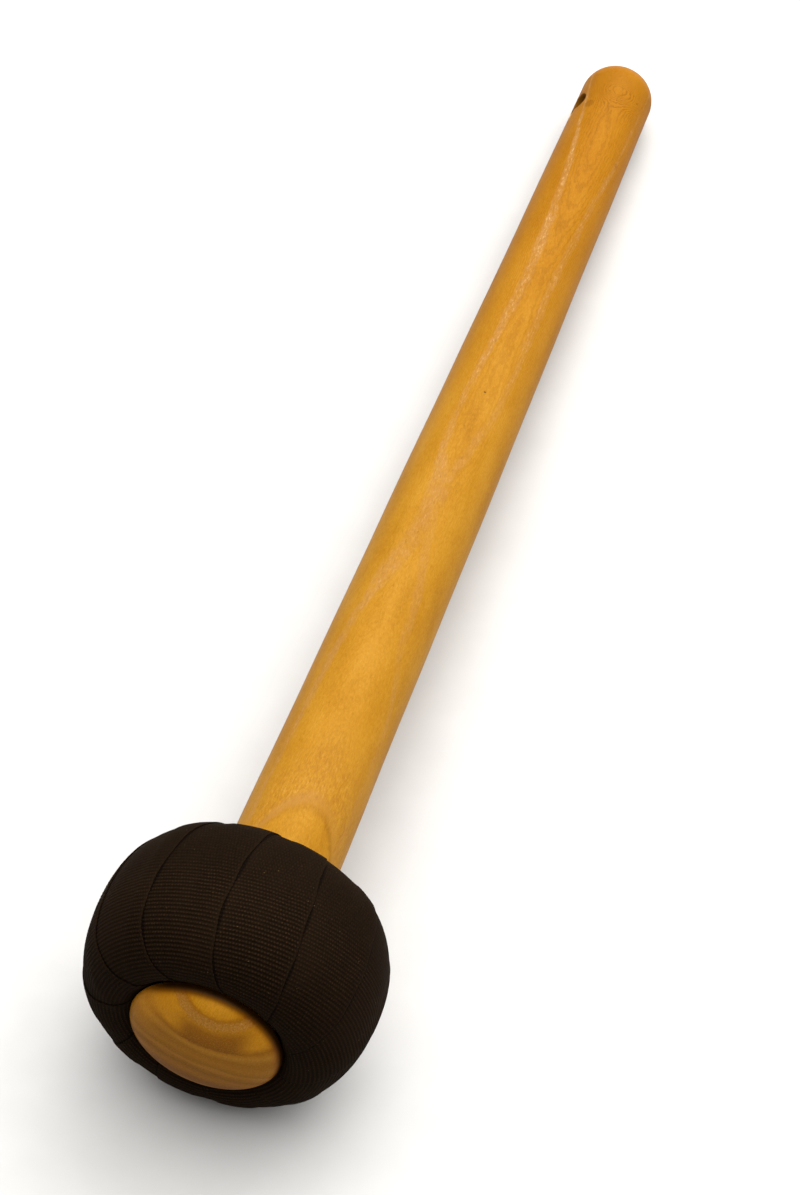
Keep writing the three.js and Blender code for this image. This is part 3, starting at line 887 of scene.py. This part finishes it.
def band_points():
    """The band's points, their winding marks, and how far each lies beyond the lap that covers it."""
    angles, lengths = winding_angles()
    counts = [len(angles) - 1] * (LAPS - 1) + [len(angles)]
    lap = np.repeat(np.arange(LAPS), counts)
    angle = np.concatenate([angles[:count] for count in counts])
    length = np.concatenate([lengths[:count] for count in counts])
    columns = band_columns()
    from_edge = columns[None, :, 0] * MM
    height = columns[None, :, 1]

    section = ring_section(angle)
    normal = ring_normal(angle)
    radius = section[:, 0]
    span = BAND_WIDTH / radius
    middle = lap_middle(lap, angle)
    across = 1 - from_edge / BAND_WIDTH
    turn = middle[:, None] + (across - 0.5) * span[:, None]

    # Layers of other laps below and above each point
    below = np.zeros(turn.shape)
    above = np.zeros(turn.shape)
    for n in (1, 2, 3):
        gap = ((lap_middle(lap + n, angle) - middle) / span)[:, None]
        below += smoothstep(across, gap - RAMP, gap)
        gap = ((middle - lap_middle(lap - n, angle)) / span)[:, None]
        above += across + gap < 1
    # The section is the band's outer face: of one lap round the outside, of the whole stack in the bore
    stacked = (span / (2 * math.pi / LAPS))[:, None]
    in_bore = smoothstep(radius, 40 * MM, 24 * MM)[:, None]
    reference = 0.2 * (1 - in_bore) + stacked * in_bore
    lift = BAND_THICKNESS * (below + height - 1 - reference)

    # Ribs, fading toward the head's back, its front edge and its sides
    outer = (height > 0.45) * smoothstep(from_edge, 0.8 * SELVAGE, 1.8 * SELVAGE)
    phases = rng.uniform(0, RIB_PITCH, LAPS)[lap][:, None]
    tilts = -BAND_WIDTH * np.tan(np.radians(RIB_TILTS))[lap][:, None]
    along = length[:, None] + phases + tilts * across
    turned_in = np.degrees(angle)[:, None]
    ribbed = smoothstep(turned_in, -122, -100) * smoothstep(turned_in, 126, 112)
    faded = 0.45 + 0.55 * smoothstep(turned_in, -82, -58)
    faded = faded * (0.08 + 0.92 * smoothstep(turned_in, 22, -6))
    sideways = np.abs(radius[:, None] * np.sin(turn))
    faded = faded * (1 - 0.35 * smoothstep(sideways, 12 * MM, 38 * MM))
    rib = np.cos(2 * math.pi * along / RIB_PITCH)
    lift += outer * (height > 0.95) * ribbed * faded * RIB_HEIGHT / 2 * rib

    # Uneven padding below, and the flats between lap edges
    outside = smoothstep(radius, 30 * MM, 44 * MM)[:, None]
    lumps = np.zeros(turn.shape)
    for _ in range(LUMP_WAVES):
        round_count = rng.integers(2, 9)
        wave = rng.uniform(0.02, 0.09) / MM
        start, other = rng.uniform(0, 2 * math.pi, 2)
        lumps += np.sin(round_count * turn + start) * np.sin(wave * length[:, None] + other)
    lift += outside * (outline_facets(turn) + LUMP_HEIGHT * lumps)

    # Lap edges that wander a little
    wave = rng.uniform(0, 2 * math.pi, LAPS)[lap][:, None]
    wander = EDGE_WANDER * np.sin(length[:, None] / MM * 0.33 + wave) * outside
    turn = turn + wander / radius[:, None]

    points = spun(radius[:, None] + normal[:, :1] * lift, section[:, 1:] + normal[:, 1:] * lift, turn)

    # The head is pressed flat where it lies on the ground
    axes = np.array(BEATER.to_3x3())
    origin = np.array(BEATER.translation)
    world = points @ axes.T + origin
    least = BAND_THICKNESS * (above + np.clip(1 - height, 0, 1))
    world[..., 2] = np.maximum(world[..., 2], least)
    points = (world - origin) @ axes

    marks = np.stack([
        np.broadcast_to(from_edge / MM, turn.shape), along / MM, np.broadcast_to(lap[:, None], turn.shape),
    ], axis=-1)
    gap = ((middle - lap_middle(lap - 1, angle)) / span)[:, None]
    beyond_cover = (across + gap - 1) * BAND_WIDTH / MM
    return points, marks, beyond_cover


def ribbon_faces(rows, columns):
    faces = []
    for i in range(rows - 1):
        for j in range(columns):
            k = (j + 1) % columns
            here, ahead = i * columns, (i + 1) * columns
            faces.append((here + j, here + k, ahead + k, ahead + j))
    faces.append(tuple(range(columns))[::-1])
    faces.append(tuple((rows - 1) * columns + j for j in range(columns)))
    return faces


def store(mesh, name, kind, values):
    """Keeps a number or a vector at each point, for the material."""
    layer = mesh.attributes.new(name, kind, "POINT")
    key = "vector" if kind == "FLOAT_VECTOR" else "value"
    layer.data.foreach_set(key, values.reshape(-1).astype(np.float32))


def make_band(wrap):
    points, marks, beyond_cover = band_points()
    rows, columns = points.shape[:2]
    piece = new_piece("elastic_band", points.reshape(-1, 3), ribbon_faces(rows, columns))
    store(piece.data, "winding", "FLOAT_VECTOR", marks)
    store(piece.data, "beyond_cover", "FLOAT", beyond_cover)
    piece.data.materials.append(black_elastic())
    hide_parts("cover_band")


# Layers inside the band
def inset(angle, depth):
    return ring_section(angle) - ring_normal(angle) * depth


def cad_band_depth(angle):
    """How deep the band's solid reaches into the ring, more in the bore, where the laps lie closer."""
    return CAD_BAND * RING_RADIUS / ring_section(angle)[..., 0]


def wrap_points():
    """A cloth sleeve drawn round the padding, its two edges meeting in the bore, with small gathers."""
    angles = np.linspace(-math.pi + WRAP_SEAM, math.pi - WRAP_SEAM, WRAP_ROWS)
    turns = np.linspace(0, 2 * math.pi, WRAP_COLUMNS + 1)[:-1]
    section_angle, turn = np.meshgrid(angles, turns, indexing="ij")
    gathers = GATHER_HEIGHT * np.sin(GATHERS * turn) * smoothstep(np.abs(section_angle), 1.2, 2.4)
    deep = cad_band_depth(section_angle) + WRAP_CLEARANCE
    # Its outer and inner face, both a little within the solid's
    sides = []
    for inward in (0.3 * MM, WRAP_THICKNESS - 0.2 * MM):
        section = inset(section_angle, (deep + inward + gathers)[..., None])
        sides.append(spun(section[..., 0], section[..., 1], turn))
    # Millimetres across and along the cloth, for its weave
    marks = np.stack([section_angle * 25, turn * 36, 0 * turn], axis=-1)
    return sides, marks


def make_wrap(padding):
    sides, marks = wrap_points()
    rows, columns = sides[0].shape[:2]
    points = np.concatenate([side.reshape(-1, 3) for side in sides])
    back = rows * columns
    faces = []
    for i in range(rows - 1):
        for j in range(columns):
            k = (j + 1) % columns
            a, b, c, d = i * columns + j, i * columns + k, (i + 1) * columns + k, (i + 1) * columns + j
            faces.append((a, b, c, d))
            faces.append((back + d, back + c, back + b, back + a))
    for j in range(columns):
        k = (j + 1) % columns
        last = (rows - 1) * columns
        faces.append((k, j, back + j, back + k))
        faces.append((last + j, last + k, back + last + k, back + last + j))
    piece = new_piece("padding_wrap", points, faces)
    store(piece.data, "winding", "FLOAT_VECTOR", np.concatenate([marks.reshape(-1, 3)] * 2))
    piece.data.materials.append(cotton())
    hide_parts("wrap_cloth")
    return piece


def rounded_zone(inner, outer, low, high, corner):
    """A rectangle with rounded corners, counter to the clock, as radius and station."""
    rows = []
    for middle_r, middle_s, start in (
        (outer - corner, high - corner, 0), (inner + corner, high - corner, 90),
        (inner + corner, low + corner, 180), (outer - corner, low + corner, 270),
    ):
        for angle in np.radians(np.linspace(start, start + 90, CORNER_STEPS)):
            rows.append((middle_r + corner * math.cos(angle), middle_s + corner * math.sin(angle)))
    return rows


def within_padding(rows):
    """Draws an outline in to where the ring's padding ends."""
    angles = np.radians(np.arange(0, 360, 1.0))
    depth = cad_band_depth(angles) + PADDING_DEPTH
    limit = inset(angles, depth[:, None])
    middle = np.array([(limit[:, 0].max() + limit[:, 0].min()) / 2, PADDING_MIDDLE])
    bearing = np.arctan2(limit[:, 1] - middle[1], limit[:, 0] - middle[0])
    reach = np.linalg.norm(limit - middle, axis=1)
    drawn = []
    for row in rows:
        offset = np.array(row) - middle
        most = np.interp(math.atan2(offset[1], offset[0]), bearing, reach, period=2 * math.pi)
        size = np.linalg.norm(offset)
        drawn.append(tuple(middle + offset * min(1, most / size)))
    return drawn


def dense(rows):
    """Puts more points on a closed outline."""
    made = []
    for here, ahead in zip(rows, rows[1:] + rows[:1]):
        here, ahead = np.array(here), np.array(ahead)
        count = max(1, round(np.linalg.norm(ahead - here) / PADDING_STEP))
        made += [tuple(here + (ahead - here) * i / count) for i in range(count)]
    return made


def make_padding(name, node, material, zone):
    """A turned ring that fills a zone: inner and outer radius, lowest and highest station."""
    profile = within_padding(dense(rounded_zone(*zone, PADDING_CORNER)))
    points, faces = lathe(profile, PADDING_SEGMENTS, closed=True)
    piece = new_piece(name, points, faces)
    piece.data.materials.append(material)
    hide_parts(node)
    return piece


def make_inside():
    """The rigid sleeve keeps its solid; the soft layers get finer ones in the same places."""
    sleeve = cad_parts["core_sleeve"]
    sleeve.data.materials.clear()
    sleeve.data.materials.append(sleeve_wood())
    soft = felt()
    sleeve_inner = BORE_RADIUS + CAD_BAND * RING_RADIUS / BORE_RADIUS + PADDING_DEPTH
    sleeve_outer = sleeve_inner + SLEEVE_WALL
    belt_inner = sleeve_outer + RUBBER_WALL + 2 * LAYER_GAP
    return [
        make_padding("felt_belt_pad", "felt_belt", soft,
                     (belt_inner, RING_RADIUS, -CORE_FORWARD, CORE_BACKWARD)),
        make_padding("felt_front_pad", "felt_front", soft,
                     (BORE_RADIUS, RING_RADIUS, -RING_FORWARD, -CORE_FORWARD - LAYER_GAP)),
        make_padding("felt_back_pad", "felt_back", soft,
                     (BORE_RADIUS, RING_RADIUS, CORE_BACKWARD + LAYER_GAP, RING_BACKWARD)),
        make_padding("rubber_core", "rubber_ring", core_rubber(),
                     (sleeve_outer + LAYER_GAP, belt_inner - LAYER_GAP, -CORE_FORWARD, CORE_BACKWARD)),
    ]


# Camera, floor and light
CAMERA_PLACE = (-1.00251, -0.33321, 1.57579)
CAMERA_TARGET = (-0.02798, 0.00051, 0.030)
IMAGE_HEIGHT = 1195
FOCAL_PIXELS = 5317
SENSOR_HEIGHT = 36
CLIP_END = 50
HORIZON_LIGHT = 0.03
CEILING_LIGHT = 3.4
CEILING_EDGE = 0.3
CEILING_AXIS = (0.35, -0.08, 0.93)
CEILING_COLOUR = (1, 0.985, 0.96, 1)
KEY_PLACE = (1.3, -0.25, 1.6)
KEY_TARGET = (-0.05, 0, 0)
KEY_SIZE = 1.6
KEY_POWER = 22
KEY_COLOUR = (1, 0.97, 0.93)
FLOOR_REACH = 6.0
FLOOR_DROP = 0.1 * MM


def facing(place, target):
    return (Vector(target) - Vector(place)).to_track_quat("-Z", "Y").to_euler()


def make_camera():
    data = bpy.data.cameras.new("camera")
    data.sensor_fit = "VERTICAL"
    data.sensor_height = SENSOR_HEIGHT
    data.lens = FOCAL_PIXELS / IMAGE_HEIGHT * SENSOR_HEIGHT
    data.clip_end = CLIP_END
    camera = new_object("camera", data)
    camera.location = CAMERA_PLACE
    camera.rotation_euler = facing(CAMERA_PLACE, CAMERA_TARGET)
    bpy.context.scene.camera = camera


def make_floor():
    corners = [(x * FLOOR_REACH, y * FLOOR_REACH, 0) for x, y in ((-1, -1), (1, -1), (1, 1), (-1, 1))]
    mesh = new_mesh("floor", corners, [(0, 1, 2, 3)])
    floor = new_object("floor", mesh)
    floor.location.z = -FLOOR_DROP
    s = Surface("floor_paper")
    speck = s.noise(s.place(), 0.06, 2.0)
    paper = s.ramp(speck, [(0.3, grey(0.57)), (0.7, grey(0.59))])
    mesh.materials.append(s.finish(Base_Color=paper, Roughness=0.9))


def make_key_light():
    data = bpy.data.lights.new("key", "AREA")
    data.shape = "SQUARE"
    data.size = KEY_SIZE
    data.energy = KEY_POWER
    data.color = KEY_COLOUR
    light = new_object("key", data)
    light.location = KEY_PLACE
    light.rotation_euler = facing(KEY_PLACE, KEY_TARGET)


def make_ceiling():
    """A wide soft light from above, brightest along CEILING_AXIS and nearly dark at the horizon."""
    world = bpy.data.worlds.new("studio")
    bpy.context.scene.world = world
    world.use_nodes = True
    tree = world.node_tree
    background = tree.nodes["Background"]
    height = tree.nodes.new("ShaderNodeVectorMath")
    height.operation = "DOT_PRODUCT"
    height.inputs[1].default_value = CEILING_AXIS
    tree.links.new(tree.nodes.new("ShaderNodeTexCoord").outputs["Generated"], height.inputs[0])
    ceiling = tree.nodes.new("ShaderNodeMapRange")
    ceiling.interpolation_type = "SMOOTHSTEP"
    for number, value in enumerate((CEILING_EDGE, 1.0, HORIZON_LIGHT, CEILING_LIGHT), start=1):
        ceiling.inputs[number].default_value = value
    tree.links.new(height.outputs["Value"], ceiling.inputs[0])
    tree.links.new(ceiling.outputs[0], background.inputs["Strength"])
    background.inputs["Color"].default_value = CEILING_COLOUR


make_camera()
make_floor()
make_ceiling()
make_key_light()
bpy.context.scene.view_settings.view_transform = "Standard"
make_handle()
make_band(make_wrap(make_inside()))
